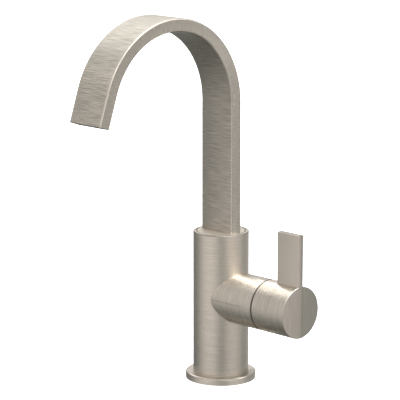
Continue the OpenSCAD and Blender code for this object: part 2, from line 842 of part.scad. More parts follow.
module cell_grid(w, l, cols, rows, bar, h) {
    cell_w = (w - bar) / rows;
    cell_l = (l - bar) / cols;
    difference() {
        translate([-w / 2, -l / 2, 0]) cube([w, l, h]);
        for (i = [0:rows - 1], j = [0:cols - 1])
            translate([-w / 2 + bar + i * cell_w, -l / 2 + bar + j * cell_l, -past])
            cube([cell_w - bar, cell_l - bar, h + 2 * past]);
    }
}

module flow_straightener() {
    color(plastic) at_outlet(frame_recess) translate([0, 0, ledge])
        cell_grid(grid_t - 2 * fit_gap, grid_w - 2 * fit_gap, outlet_cols, outlet_rows, grid_bar, grid_len);
}

module outlet_screen() {
    color(steel) at_outlet(frame_recess) translate([0, 0, ledge + grid_len])
        cell_grid(grid_t - 2 * fit_gap, grid_w - 2 * fit_gap, 2 * outlet_cols, 2 * outlet_rows,
            screen_bar, screen_t);
}

module outlet_seal() {
    color(rubber) at_outlet(frame_recess) translate([0, 0, outlet_len]) difference() {
        linear_extrude(seal_t) soft_rect(frame_t, frame_w, hollow_edge);
        translate([0, 0, -past]) linear_extrude(seal_t + 2 * past) square([grid_t, grid_w], center = true);
    }
}

column();
base_flange();
deck_gasket();
cartridge_base();
port_seals();
disc_gasket();
fixed_disc();
cartridge_housing();
stop_ring();
cartridge_nut();
glide_ring();
spout_washer();
stop_screw();
spout_tube();
swivel_hub();
spout_seals();
spout_bush();
outlet_frame();
flow_straightener();
outlet_screen();
outlet_seal();
handle_hub();
lever_blade();
handle_adapter();
handle_screw();
screw_cap();
cartridge_stem();
stem_seals();
disc_carrier();
moving_disc();
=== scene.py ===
"""Studio scene for a tall basin mixer: a smooth ribbon spout, brushed nickel and soft light."""

import json
import math

import bpy
import numpy as np
from bpy.props import FloatProperty, FloatVectorProperty, IntProperty, PointerProperty
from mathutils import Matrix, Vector


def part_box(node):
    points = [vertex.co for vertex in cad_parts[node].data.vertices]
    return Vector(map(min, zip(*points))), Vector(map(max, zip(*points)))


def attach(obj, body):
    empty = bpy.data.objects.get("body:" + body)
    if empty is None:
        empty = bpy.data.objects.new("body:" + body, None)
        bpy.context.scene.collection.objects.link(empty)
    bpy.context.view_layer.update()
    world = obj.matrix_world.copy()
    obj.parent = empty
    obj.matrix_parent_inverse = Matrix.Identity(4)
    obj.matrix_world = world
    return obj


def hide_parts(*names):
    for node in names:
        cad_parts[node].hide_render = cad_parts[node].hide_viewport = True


bl_info = {
    "name": "Tall basin mixer",
    "version": (1, 0, 0),
    "blender": (4, 5, 0),
    "location": "View3D > Sidebar > Mixer",
    "description": "Finishes, ribbon spout and studio for a brushed nickel basin mixer",
    "category": "Object",
}

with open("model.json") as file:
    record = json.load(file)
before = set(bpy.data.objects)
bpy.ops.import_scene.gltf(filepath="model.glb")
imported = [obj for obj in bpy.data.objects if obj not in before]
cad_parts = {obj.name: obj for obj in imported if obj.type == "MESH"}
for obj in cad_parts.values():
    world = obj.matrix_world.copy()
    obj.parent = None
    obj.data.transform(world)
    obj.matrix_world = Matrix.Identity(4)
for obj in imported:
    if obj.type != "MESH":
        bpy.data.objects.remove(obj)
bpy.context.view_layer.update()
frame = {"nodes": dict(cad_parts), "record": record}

# Lengths are in metres, as in the frame
MM = 0.001

# The CAD nodes that the ribbon and the finishes are fitted to
SPOUT_LOW, SPOUT_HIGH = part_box("spout_tube")
COLUMN_LOW, COLUMN_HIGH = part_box("column")
_, FLANGE_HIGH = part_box("base_flange")
HUB_LOW, HUB_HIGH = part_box("handle_hub")
_, SWIVEL_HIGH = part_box("swivel_hub")
BLADE_LOW, BLADE_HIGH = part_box("lever_blade")
COLUMN_R = -COLUMN_LOW.x
HANDLE_Z = (HUB_LOW.z + HUB_HIGH.z) / 2
# The side boss and the handle's hub have the same radius
BOSS_R = (HUB_HIGH.y - HUB_LOW.y) / 2
# The front face of the ribbon where it stands upright
SPOUT_FRONT = -SPOUT_HIGH.y

# Pitch of the thread in each threaded hole of the column
THREAD_PITCHES = {"stud_hole": 1.25 * MM, "cold_port": 1.0 * MM, "hot_port": 1.0 * MM}
# Where those holes are, their radius and their pitch
THREADED_HOLES = [
    (*mount["pos_m"][:2], mount["dims"]["r_mm"] * MM, THREAD_PITCHES[mount["name"]])
    for mount in frame["record"]["mounts"]
    if mount["name"] in THREAD_PITCHES
]


# Shader trees: a socket that can be used in sums, and a sheet that makes nodes


class Wire:
    """One output socket. Arithmetic on it adds Math nodes to its sheet."""

    def __init__(self, sheet, socket):
        self.sheet = sheet
        self.socket = socket

    def maths(self, operation, *values):
        return self.sheet.node("ShaderNodeMath", {"operation": operation}, dict(enumerate(values)))

    def __add__(self, other):
        return self.maths("ADD", self, other)

    def __radd__(self, other):
        return self.maths("ADD", other, self)

    def __sub__(self, other):
        return self.maths("SUBTRACT", self, other)

    def __rsub__(self, other):
        return self.maths("SUBTRACT", other, self)

    def __mul__(self, other):
        return self.maths("MULTIPLY", self, other)

    def __rmul__(self, other):
        return self.maths("MULTIPLY", other, self)

    def __truediv__(self, other):
        return self.maths("DIVIDE", self, other)

    def __abs__(self):
        return self.maths("ABSOLUTE", self)

    def atan2(self, other):
        return self.maths("ARCTAN2", self, other)

    def root(self):
        return self.maths("SQRT", self)

    def zigzag(self):
        """Goes up to 0.5 and back to 0 as the value goes up by 1."""
        return self.maths("PINGPONG", self, 0.5)

    def above(self, level):
        """1 where the value is over level, else 0."""
        return self.maths("GREATER_THAN", self, level)

    def below(self, level):
        """1 where the value is under level, else 0."""
        return self.maths("LESS_THAN", self, level)

    def larger(self, other):
        return self.maths("MAXIMUM", self, other)

    def smaller(self, other):
        return self.maths("MINIMUM", self, other)

    def rise(self, low, high):
        """0 below low, 1 above high, and a smooth step between."""
        return self.sheet.node(
            "ShaderNodeMapRange",
            {"interpolation_type": "SMOOTHSTEP"},
            {0: self, 1: low, 2: high, 3: 0.0, 4: 1.0},
        )


class Sheet:
    """A node tree with one method that makes any node."""

    def __init__(self, tree):
        self.tree = tree
        self.tree.nodes.clear()
        self.kept_place = None

    def node(self, kind, settings=None, sockets=None, output=0):
        """Adds a node: its settings first, then its sockets' values or links.
        Returns one of its outputs."""
        node = self.tree.nodes.new(kind)
        for name, value in (settings or {}).items():
            if name == "stops":
                ramp = node.color_ramp
                while len(ramp.elements) < len(value):
                    ramp.elements.new(1.0)
                for element, (position, rgba) in zip(ramp.elements, value):
                    element.position, element.color = position, rgba
            else:
                setattr(node, name, value)
        for key, value in (sockets or {}).items():
            if isinstance(value, Wire):
                self.tree.links.new(value.socket, node.inputs[key])
            else:
                node.inputs[key].default_value = value
        return Wire(self, node.outputs[output]) if len(node.outputs) else node

    def split(self, vector):
        """The x, y and z of a vector."""
        parts = self.node("ShaderNodeSeparateXYZ", {}, {0: vector})
        return [Wire(self, output) for output in parts.socket.node.outputs]

    def place(self):
        """x, y and z of the shaded point, in the part's own frame."""
        if self.kept_place is None:
            self.kept_place = self.split(self.node("ShaderNodeTexCoord", output="Object"))
        return self.kept_place

    def attribute(self, name):
        """A number that the piece's mesh carries at each of its points."""
        return self.node("ShaderNodeAttribute", {"attribute_name": name}, output="Fac")

    def vector(self, x, y, z):
        return self.node("ShaderNodeCombineXYZ", {}, {0: x, 1: y, 2: z})

    def noise(self, vector, detail=2.0, roughness=0.5):
        return self.node(
            "ShaderNodeTexNoise",
            {},
            {"Vector": vector, "Scale": 1.0, "Detail": detail, "Roughness": roughness},
        )

    def mottle(self, scale, detail=2.0):
        """Noise that is alike in all directions, with scale changes to the metre."""
        x, y, z = self.place()
        return self.noise(self.vector(x * scale, y * scale, z * scale), detail)

    def tint(self, share, first, second):
        """The first colour at share 0 and the second at share 1."""
        return self.node(
            "ShaderNodeMix", {"data_type": "RGBA"}, {0: share, 6: first, 7: second}, output=2
        )

    def ramp(self, stops, value):
        """A smooth grey curve through these positions and levels."""
        curve = self.node(
            "ShaderNodeValToRGB",
            {"stops": [(position, colour((level,) * 3)) for position, level in stops]},
            {0: value},
        )
        curve.socket.node.color_ramp.interpolation = "B_SPLINE"
        return curve

    def bump(self, height, distance):
        return self.node(
            "ShaderNodeBump", {}, {"Height": height, "Distance": distance, "Strength": 1.0}
        )


def colour(rgb):
    """The colour with full alpha."""
    return (*rgb, 1.0)


def finish(name, paint):
    """A material whose Principled sockets come from paint, a function of the sheet."""
    material = bpy.data.materials.get(name)
    if material:
        return material
    material = bpy.data.materials.new(name)
    material.use_nodes = True
    sheet = Sheet(material.node_tree)
    shader = sheet.node("ShaderNodeBsdfPrincipled", {}, paint(sheet))
    sheet.node("ShaderNodeOutputMaterial", {}, {"Surface": shader})
    return material


def dress(node, material):
    """Gives a CAD node's object its finish."""
    mesh = frame["nodes"][node].data
    mesh.materials.clear()
    mesh.materials.append(material)


# A point this close to a long side or to an end face counts as on it
SIDE_SKIN = 0.02 * MM
END_SKIN = 0.05 * MM


def near(value, level, reach):
    """1 at the level, falling to 0 at a distance of reach."""
    return 1.0 - abs(value - level).rise(0.0, reach)


def pick(mask, first, second):
    """Each of the first where the mask is 1, and of the second where it is 0."""
    return [mask * a + (1.0 - mask) * b for a, b in zip(first, second)]


# Which way the brushing runs on each kind of surface. Each function returns the distance
# across the grooves, and two distances along them


def turned_about_column(sheet):
    """Grooves go round the column's axis: across them is radius plus height."""
    x, y, z = sheet.place()
    return (x * x + y * y).root() + z, x, y


def turned_about_handle(sheet):
    """Grooves go round the handle's axis: across them is radius plus distance along it."""
    x, y, z = sheet.place()
    drop = z - HANDLE_Z
    return (y * y + drop * drop).root() + x, y, drop


def brushed_upright(sheet):
    """Straight grooves along Z."""
    x, y, z = sheet.place()
    return y + x, z, z


def along_ribbon(sheet):
    """Grooves go across the ribbon: the UV map holds metres round it and metres along it."""
    round_it, along_it, _ = sheet.split(sheet.node("ShaderNodeUVMap", {"uv_map": "grain"}))
    return along_it, round_it, 0.0


# How quickly the brushing changes, per metre: hairlines and streaks along the grooves, the
# wander of the grooves along and across them, and the cloud in all directions
HAIR_RUN = 90.0
STREAK_RUN = 42.0
WANDER_RUN = 70.0
WANDER_STEP = 120.0
CLOUD_SCALE = 24.0
# The light tone's share before the streaks and the cloud, and by how much they change it
BASE_LIGHT = 0.4
STREAK_LIGHT = 0.45
CLOUD_LIGHT = 0.2
# By how much the streaks, the cloud and a painted highlight change the roughness
STREAK_ROUGH = 0.22
CLOUD_ROUGH = 0.08
SHEEN_ROUGH = 0.06
# How far a full painted highlight goes towards its lighter tone
SHEEN_SHARE = 0.5


def brushed(
    sheet,
    ways,
    strength=1.0,
    fine=1.0,
    run=STREAK_RUN,
    steep=1.0,
    soft=0.0,
    wander=0.0,
    sheen=None,
    tone=None,
    crown=None,
):
    """Sockets of satin nickel. Fine hairlines spread the light across the grooves, and longer,
    wider streaks carry the grain that the eye sees; a slow cloud keeps it uneven.

    Strength, fine and run say how clear, how narrow and how short the streaks are, and steep how
    deep the hairlines are. Soft is added roughness, and wander how far the grooves stray. The last
    three say where a highlight is painted, which also lowers the roughness, where shade is painted,
    and what height is added as a crown."""
    look = bpy.context.scene.mixer_nickel
    across, first, second = ways
    if wander:
        drift = sheet.noise(
            sheet.vector(first * WANDER_RUN, across * WANDER_STEP, second * WANDER_RUN), 1.0
        )
        across = across + (drift - 0.5) * wander
    hair = sheet.noise(
        sheet.vector(across / look.hair_pitch, first * HAIR_RUN, second * HAIR_RUN), roughness=0.6
    )
    streak = sheet.noise(
        sheet.vector(across * (fine / look.streak_pitch), first * run, second * run), roughness=0.55
    )
    cloud = sheet.mottle(CLOUD_SCALE)
    crests = streak.rise(0.3, 0.7)
    base = sheet.tint(
        (crests - 0.5) * (strength * STREAK_LIGHT) + cloud * CLOUD_LIGHT + BASE_LIGHT,
        colour(look.dark_tone),
        colour(look.light_tone),
    )
    rough = look.roughness + soft + (0.5 - streak) * (STREAK_ROUGH * strength)
    rough = rough + (cloud - 0.5) * CLOUD_ROUGH
    # A painted highlight: a lighter base colour and a lower roughness
    if sheen is not None:
        base = sheet.tint(sheen * SHEEN_SHARE, base, colour(look.sheen_tone))
        rough = rough - sheen * SHEEN_ROUGH
    # Painted shade: the base colour darker, towards the tones of shade
    if tone is not None:
        dull = sheet.tint(crests, colour(look.shade_dark_tone), colour(look.shade_tone))
        base = sheet.tint(tone, base, dull)
    height = hair * (look.groove_depth * steep) + streak * (look.streak_depth * strength)
    if crown is not None:
        height = height + crown
    return {
        "Base Color": base,
        "Metallic": 1.0,
        "Roughness": rough,
        "Normal": sheet.bump(height, 1.0),
    }


def darken(sheet, sockets, share):
    """Paints shade: takes the base colour this far towards the tone of deep shade in joints, gaps
    and lines.
    """
    deep_shade_tone = colour(bpy.context.scene.mixer_nickel.deep_shade_tone)
    sockets["Base Color"] = sheet.tint(share, sockets["Base Color"], deep_shade_tone)


def crowned(value, middle, half_width, degrees):
    """Height of a bowed face: minus tan(degrees) times the square of the distance from its middle,
    over its whole width, so that it slopes by this angle at its edges."""
    off = value - middle
    return off * off * (-math.tan(math.radians(degrees)) / (2 * half_width))


# A thread shows this far outside its hole's wall, and is this deep as a share of its pitch
THREAD_REACH = 0.1 * MM
THREAD_DEPTH = 0.6


def threads(sheet):
    """Height of the screw threads in the two hose ports and the stud hole. Each is a helix: the
    height goes up and down once a pitch, and the turn round the hole's axis shifts it."""
    x, y, z = sheet.place()
    height = 0.0
    for centre_x, centre_y, radius, pitch in THREADED_HOLES:
        off_x, off_y = x - centre_x, y - centre_y
        turns = off_y.atan2(off_x) / (2 * math.pi)
        wall = (off_x * off_x + off_y * off_y).root().below(radius + THREAD_REACH)
        wave = (z / pitch + turns).zigzag()
        height = wave * wall * (pitch * THREAD_DEPTH) + height
    return height


def gap_shade(x, y):
    """How dark the gap round the swivel disc is: darkest at the two ends of the line x = y."""
    lightest = 0.15
    along_line = (x + y) * math.sqrt(0.5)
    right = along_line.rise(1 * MM, 8 * MM)
    left = (0.0 - along_line).rise(13 * MM, 19 * MM)
    return right.larger(left) * (1 - lightest) + lightest


def column_paint(sheet):
    """The post is brushed round its own axis and the side boss round the handle's axis.
    What the plating didn't reach, the bores and the well, is bare turned brass."""
    look = bpy.context.scene.mixer_nickel
    x, y, z = sheet.place()
    round_post = (x * x + y * y).root()
    drop = z - HANDLE_Z
    round_boss = (y * y + drop * drop).root()
    on_boss = round_post.above(COLUMN_R + SIDE_SKIN)

    # Painted shade on the post's top, on its rounded rim and towards its foot, and along the boss's
    # very top, with a painted highlight band below that
    top = z.above(COLUMN_HIGH.z - 0.6 * MM)
    rim = near(z + round_post, COLUMN_HIGH.z + COLUMN_R - 0.3 * MM, 0.6 * MM)
    foot = 1.0 - z.rise(5 * MM, 60 * MM)
    crest = on_boss * drop.rise(BOSS_R - 1.35 * MM, BOSS_R - 0.05 * MM)
    highlight = on_boss * near(drop, BOSS_R - 4.25 * MM, 4.5 * MM)
    sockets = brushed(
        sheet,
        pick(on_boss, turned_about_handle(sheet), turned_about_column(sheet)),
        strength=0.7 + on_boss * 0.1,
        fine=2.5 - on_boss * 0.9,
        steep=1.0 + on_boss * 0.3 - top * 0.5,
        soft=top * 0.1,
        sheen=highlight * 1.2,
        tone=(top * 0.6).larger(foot * 0.24).larger(crest * 0.7).larger(rim),
        crown=threads(sheet),
    )

    # Painted shade in the boss's mouth, in the gap round the swivel disc and on the rim, and a faint
    # painted dark line along the boss at the height of the handle's axis, which fades out towards
    # the mouth
    mouth = near(x, COLUMN_HIGH.x, 0.6 * MM)
    gap = near(round_post, SWIVEL_HIGH.x + 0.35 * MM, 0.4 * MM) * top * gap_shade(x, y)
    axis_line_end = x.rise(COLUMN_HIGH.x - 16.5 * MM, COLUMN_HIGH.x - 2.5 * MM)
    axis_line = on_boss * near(drop, 0.3 * MM, 0.8 * MM) * (1.0 - axis_line_end)
    darken(sheet, sockets, mouth.larger(gap).larger(rim * 0.5).larger(axis_line * 0.32))

    # Plated is what lies at the outer surfaces of the post and of the boss
    plated = (
        round_post.above(COLUMN_R - 0.7 * MM)
        .larger(z.above(COLUMN_HIGH.z - 0.7 * MM))
        .larger(round_boss.above(BOSS_R - 0.5 * MM) * x.above(10 * MM))
    )
    cartridge_well = round_boss.below(BOSS_R - 0.5 * MM) * x.above(COLUMN_R + 1 * MM)
    feed_marks = sheet.noise(sheet.vector(x * 300.0, y * 300.0, z * 2400.0))
    brass = sheet.tint(feed_marks, colour(look.brass_dark), colour(look.brass_light))
    bare = (1.0 - plated).larger(cartridge_well)
    sockets["Base Color"] = sheet.tint(bare, sockets["Base Color"], brass)
    return sockets


def flange_paint(sheet):
    """Turned round the column's axis. Its top and its rounded edge carry painted shade that grows
    towards +X.
    """
    x, y, z = sheet.place()
    radius = (x * x + y * y).root()
    top = z.above(FLANGE_HIGH.z - END_SKIN)
    edge = near(z + radius, FLANGE_HIGH.z + FLANGE_HIGH.x - 0.6 * MM, 0.8 * MM)
    top_tone = top * (0.3 + x.rise(12 * MM, 20 * MM) * 0.7)
    edge_tone = edge * (0.6 + x.rise(0.0, 20 * MM) * 0.4)
    return brushed(
        sheet,
        turned_about_column(sheet),
        strength=0.5,
        fine=1.6,
        steep=1.0 - top * 0.6,
        tone=top_tone.larger(edge_tone),
    )


def swivel_paint(sheet):
    """Turned round the column's axis, with painted shade at the back and at the left, a painted
    highlight beside the ribbon's front, and painted shade in the gap round it."""
    x, y, _ = sheet.place()
    radius = (x * x + y * y).root()
    left = (0.0 - x - y).rise(9 * MM, 24 * MM)
    front = near(y, SPOUT_FRONT, 9 * MM)
    sockets = brushed(
        sheet,
        turned_about_column(sheet),
        strength=0.5,
        fine=1.6,
        steep=0.9,
        soft=0.2,
        sheen=front * (1.0 - left) * 1.5,
        tone=(left * 0.45).larger(y.above(0.0) * 0.85),
    )
    darken(sheet, sockets, near(radius, SWIVEL_HIGH.x, 0.45 * MM) * gap_shade(x, y))
    return sockets


def hub_paint(sheet):
    """Turned round the handle's axis, with straight upright grain on its end face, which falls
    away to both sides of the blade like a low roof."""
    roof_degrees = 4.5
    x, y, z = sheet.place()
    end = x.above(HUB_HIGH.x - END_SKIN)
    edge = near(x, HUB_HIGH.x - 0.2 * MM, 0.5 * MM)
    under_blade = z.above(HANDLE_Z) * x.rise(BLADE_LOW.x - 1 * MM, BLADE_LOW.x)
    blade_foot = near(y, -5.5 * MM, 5 * MM) * under_blade
    roof = crowned(y, 0.0, BOSS_R, roof_degrees) - abs(y) * math.tan(math.radians(roof_degrees))
    # Painted highlights along the end face's edge and beside the blade's foot, and painted shade
    # over the whole hub, a little more on the end face
    sockets = brushed(
        sheet,
        pick(end, brushed_upright(sheet), turned_about_handle(sheet)),
        strength=1.0 - end * 0.6,
        fine=1.6,
        steep=1.2 - end * 0.6,
        sheen=(edge + blade_foot * 1.3) * (1.0 - end),
        tone=0.18 + end * 0.1,
        crown=roof * end,
    )
    # Painted shade along the groove at the hub's inner end
    darken(sheet, sockets, near(x, HUB_LOW.x, 0.6 * MM))
    return sockets


def blade_paint(sheet):
    """Upright grain. Its broad faces are bowed, and so is the narrow one at the hub's end, the
    most above the hub."""
    x, y, z = sheet.place()
    narrow = x.above(HUB_HIGH.x - 0.1 * MM)
    middle = (BLADE_LOW.x + BLADE_HIGH.x) / 2
    bow = z.above(HUB_HIGH.z) * 0.6 + 0.4
    narrow_crown = crowned(y, 0.0, BLADE_HIGH.y, degrees=18.0) * bow
    broad_crown = crowned(x, middle, BLADE_HIGH.x - middle, degrees=3.0)
    top = z.above(BLADE_HIGH.z - END_SKIN)
    # Painted shade on the narrow face and on the top
    return brushed(
        sheet,
        brushed_upright(sheet),
        strength=0.15,
        fine=1.5,
        steep=0.8,
        tone=(narrow * 0.3).larger(top * 1.1),
        crown=narrow_crown * narrow + broad_crown * (1.0 - narrow),
    )


def ribbon_paint(sheet):
    """Grain across the ribbon. The mesh says where its inner face and its corners are, and how far
    out a point is."""
    shape = bpy.context.scene.mixer_ribbon
    x, y, z = sheet.place()
    inner, corner, depth = (sheet.attribute(name) for name in ("inner", "corner", "depth"))
    half = shape.width / 2
    side = abs(x).above(half - SIDE_SKIN)
    inner_face = inner * (1.0 - side)
    outer_face = (1.0 - inner) * (1.0 - side)

    # Painted shade: each face is darkened to its own degree, which changes with height, and the
    # outer face more towards -X
    high = z.rise(200 * MM, 280 * MM)
    inner_tone = z.rise(130 * MM, 210 * MM) * 0.15 - z.rise(235 * MM, 275 * MM) * 0.34 + 0.62
    side_tone = depth * (0.14 - high * 0.08) - high * 0.1 + 0.5
    outer_tone = (z.rise(250 * MM, 280 * MM) * 1.1).larger(0.45) - x * (0.12 / half)
    tone = (inner_face * inner_tone).larger(side * side_tone).larger(outer_face * outer_tone)

    # Painted highlights along the corners, but not along the inner ones of the bend
    shaded_corner = depth.below(0.0) * (0.0 - y).rise(15 * MM, 40 * MM)
    corner_band_sheen = corner.rise(0.0, 0.6) * (inner * 2.0).smaller(1.0) * depth.below(0.5)
    corner_band_sheen = corner_band_sheen * (1.0 - shaded_corner)
    corner_line_sheen = corner.rise(0.5, 1.0) * (0.1 + z.rise(200 * MM, 260 * MM) * 0.4) * (1.0 - shaded_corner)

    strength = 1.9 - side * 0.3 + inner_face * 0.6 + outer_face * z.rise(220 * MM, 260 * MM) * 1.1
    ways = along_ribbon(sheet)
    sockets = brushed(
        sheet,
        ways,
        strength=strength,
        fine=1.65 + inner * 0.65,
        run=60.0,
        steep=1.7,
        soft=0.14,
        wander=0.25 * MM,
        sheen=(corner_band_sheen * 0.8).larger(corner_line_sheen),
        tone=tone * (1.0 - corner_band_sheen * 0.6),
        crown=crowned(x, 0.0, half, degrees=11.0) * inner,
    )

    # Painted shade on the lip, on the inner corners of the bend and along the line at the foot
    end = ribbon_length(shape)
    lip = ways[0].rise(end - 0.7 * MM, end - 0.2 * MM)
    foot = near(z, SWIVEL_HIGH.z, 0.8 * MM)
    corner_shade = shaded_corner * corner.rise(0.1, 0.7)
    darken(sheet, sockets, (lip * 0.35).larger(corner_shade * 0.55).larger(foot * 0.3))
    return sockets


def brass_paint(sheet):
    """Bare turned brass: fine feed marks round the handle's axis and a slightly dulled cloud."""
    look = bpy.context.scene.mixer_nickel
    across, first, second = turned_about_handle(sheet)
    marks = sheet.noise(sheet.vector(across * 5000.0, first * HAIR_RUN, second * HAIR_RUN))
    dull = sheet.mottle(160.0, 3.0)
    return {
        "Base Color": sheet.tint(
            marks * 0.5 + dull * 0.5, colour(look.brass_dark), colour(look.brass_light)
        ),
        "Metallic": 1.0,
        "Roughness": 0.22 + dull * 0.2,
        "Normal": sheet.bump(marks, 0.03 * MM),
    }


def steel_paint(sheet):
    """Stainless steel: a fine even grain with small bright scratches."""
    x, y, z = sheet.place()
    grain = sheet.mottle(2600.0, 3.0)
    scratch = sheet.noise(sheet.vector(x * 4200.0, y * 300.0, z * 300.0)).rise(0.6, 0.72)
    return {
        "Base Color": sheet.tint(grain, colour((0.42, 0.42, 0.43)), colour((0.62, 0.62, 0.63))),
        "Metallic": 1.0,
        "Roughness": 0.26 + grain * 0.14 - scratch * 0.08,
        "Normal": sheet.bump(grain, 0.01 * MM),
    }


def moulded(dark, light, grain, rough, depth):
    """A paint for moulded plastic, rubber or ceramic: a skin with this many grains to the metre,
    of this roughness and depth, and a slow change between a dark and a light tone."""

    def paint(sheet):
        skin = sheet.mottle(grain, 3.0)
        tone = sheet.mottle(130.0)
        return {
            "Base Color": sheet.tint(tone * 0.7 + skin * 0.3, colour(dark), colour(light)),
            "Metallic": 0.0,
            "Roughness": rough + (skin - 0.5) * 0.2,
            "Normal": sheet.bump(skin, depth),
        }

    return paint


# The finish of each material slot but nickel
PLAIN_FINISHES = {
    "bare_brass": brass_paint,
    "steel": steel_paint,
    "white_plastic": moulded(
        (0.66, 0.66, 0.62), (0.82, 0.82, 0.79), grain=1800.0, rough=0.42, depth=0.02 * MM
    ),
    "dark_plastic": moulded(
        (0.035, 0.035, 0.036), (0.075, 0.075, 0.078), grain=2200.0, rough=0.5, depth=0.03 * MM
    ),
    "black_rubber": moulded(
        (0.016, 0.016, 0.017), (0.04, 0.04, 0.041), grain=1500.0, rough=0.62, depth=0.04 * MM
    ),
    "ceramic": moulded(
        (0.8, 0.8, 0.78), (0.9, 0.9, 0.88), grain=900.0, rough=0.16, depth=0.004 * MM
    ),
}
# The plastic ring in the shade of the groove is a warmer dark than the rest
GLIDE_RING_FINISH = moulded(
    (0.022, 0.016, 0.012), (0.042, 0.031, 0.024), grain=2200.0, rough=0.7, depth=0.03 * MM
)


def dress_plain_nodes():
    """Gives every CAD node in one of these slots the finish of its slot."""
    for part in frame["record"]["subparts"]:
        slot = part["material_slot"]
        if slot in PLAIN_FINISHES:
            dress(part["node"], finish(slot, PLAIN_FINISHES[slot]))


# New surfaces


def grid_faces(rows, columns, close_rows, close_columns):
    """The corner numbers of every face of a grid of points, row by row."""
    i = np.arange(rows if close_rows else rows - 1)
    j = np.arange(columns if close_columns else columns - 1)
    a, b = (g.ravel() for g in np.meshgrid(i, j, indexing="ij"))
    c, d = (a + 1) % rows, (b + 1) % columns
    return np.stack([a * columns + b, a * columns + d, c * columns + d, c * columns + b], 1)


def add_mesh(name, points, faces):
    """A smooth-shaded object at the origin."""
    mesh = bpy.data.meshes.new(name)
    mesh.from_pydata(points.tolist(), [], faces.tolist())
    mesh.shade_smooth()
    mesh.validate()
    piece = bpy.data.objects.new(name, mesh)
    bpy.context.scene.collection.objects.link(piece)
    return piece


# Points spread along each straight side of the ribbon's section. One more at each end, this
# far from the corner, keeps the shading of the side flat
SIDE_STEPS = 8
SIDE_INSET = 0.12 * MM
# Rows of points in the straight stretches before and after the bend, and steps round each of
# the two rounded edges of the wall's end
RISE_ROWS = 40
TIP_ROWS = 16
LIP_STEPS = 4
# One more row, this many times the lip's rounding from the end, keeps the wall's shading flat
LIP_START = 1.6
# How far the corner mark reaches from an inner corner onto the narrow side
CORNER_REACH = 0.9 * MM


def rounded_section(width, thickness, edge, corner_steps):
    """Points, outward normals and arc length round a rectangle with rounded corners. Each corner
    is a quarter circle of radius edge about (w/2 - edge, t/2 - edge), and each side is straight."""
    turn = np.linspace(0.0, np.pi / 2, corner_steps + 1)
    quarters = np.array([[1, 1], [-1, 1], [-1, -1], [1, -1]])
    centres = quarters * [width / 2 - edge, thickness / 2 - edge]
    points, normals = [], []
    for k in range(4):
        angle = turn + k * np.pi / 2
        out = np.stack([np.cos(angle), np.sin(angle)], 1)
        corner = centres[k] + edge * out
        start = corner[-1]
        stop = centres[(k + 1) % 4] + edge * out[-1]
        inset = SIDE_INSET / np.linalg.norm(stop - start)
        between = np.linspace(0, 1, SIDE_STEPS + 2)[1:-1]
        share = np.concatenate([[inset], between, [1 - inset]])
        side = start + share[:, None] * (stop - start)
        points += [corner, side]
        normals += [out, np.repeat(out[-1:], len(side), 0)]
    points, normals = np.concatenate(points), np.concatenate(normals)
    steps = np.linalg.norm(np.roll(points, -1, 0) - points, axis=1)
    return points, normals, np.concatenate([[0.0], np.cumsum(steps)])


def ribbon_length(shape):
    """Length of the ribbon's middle line, from its foot in the swivel disc to the outlet."""
    arc = shape.bend_radius * shape.bend_angle
    return shape.bend_start - SPOUT_LOW.z + arc + shape.tip_length


def ribbon_line(shape):
    """The ribbon's middle line: straight up, round an arc of the bend's radius, straight on.
    Returns y, z, how far it has turned, and the distance along it, for each step."""
    foot = SPOUT_LOW.z
    rise = shape.bend_start - foot
    arc = shape.bend_radius * shape.bend_angle
    up = np.linspace(0.0, rise, RISE_ROWS)
    bend = rise + np.linspace(0.0, arc, shape.bend_steps + 1)[1:]
    tip = rise + arc + np.linspace(0.0, shape.tip_length, TIP_ROWS)[1:]
    s = np.concatenate([up, bend, tip])
    turned = np.clip((s - rise) / shape.bend_radius, 0.0, shape.bend_angle)
    past = np.clip(s - rise - arc, 0.0, None)
    y = shape.bend_radius * (np.cos(turned) - 1) - past * np.sin(turned)
    z = np.minimum(s, rise) + foot + shape.bend_radius * np.sin(turned) + past * np.cos(turned)
    return y, z, turned, s


def wall_rows(shape, s):
    """How far along the line and how far in from the outer skin each row of the wall lies: out
    along the skin, round the two edges of the wall's end, and back along the lining."""
    lip, end = shape.lip, s[-1]
    turn = np.linspace(0.0, np.pi / 2, LIP_STEPS + 1)[1:]
    lip_start = end - lip * LIP_START
    skin = np.concatenate([s[:-1], [lip_start], end - lip + lip * np.sin(turn)])
    skin_in = np.concatenate([np.zeros(len(s)), lip * (1 - np.cos(turn))])
    lining = np.concatenate([end - lip + lip * np.cos(turn), [lip_start], s[:-1][::-1]])
    lining_in = np.concatenate(
        [shape.wall - lip + lip * np.sin(turn), np.full(len(s), shape.wall)]
    )
    along = np.concatenate([skin, [end], lining])
    inset = np.concatenate([skin_in, [shape.wall - lip], lining_in])
    return along, inset


def ribbon_marks(shape, section, normals):
    """What the finish needs to know of each point of the section: inner is 0 on the outer face
    and 1 on the inner one, corner is 1 at 45 degrees on a corner and half that on the side just
    past an inner corner, and depth goes from -1 at the inner face to 1 at the outer one."""
    depth = section[:, 1] / (shape.thickness / 2)
    past_corner = section[:, 1] + shape.thickness / 2 - shape.edge
    beside = 0.5 * np.clip(1 - past_corner / CORNER_REACH, 0, 1) * np.abs(normals[:, 0])
    corner = np.maximum(2 * np.abs(normals[:, 0] * normals[:, 1]), beside)
    return {"inner": 0.5 - 0.5 * normals[:, 1], "corner": corner, "depth": depth}


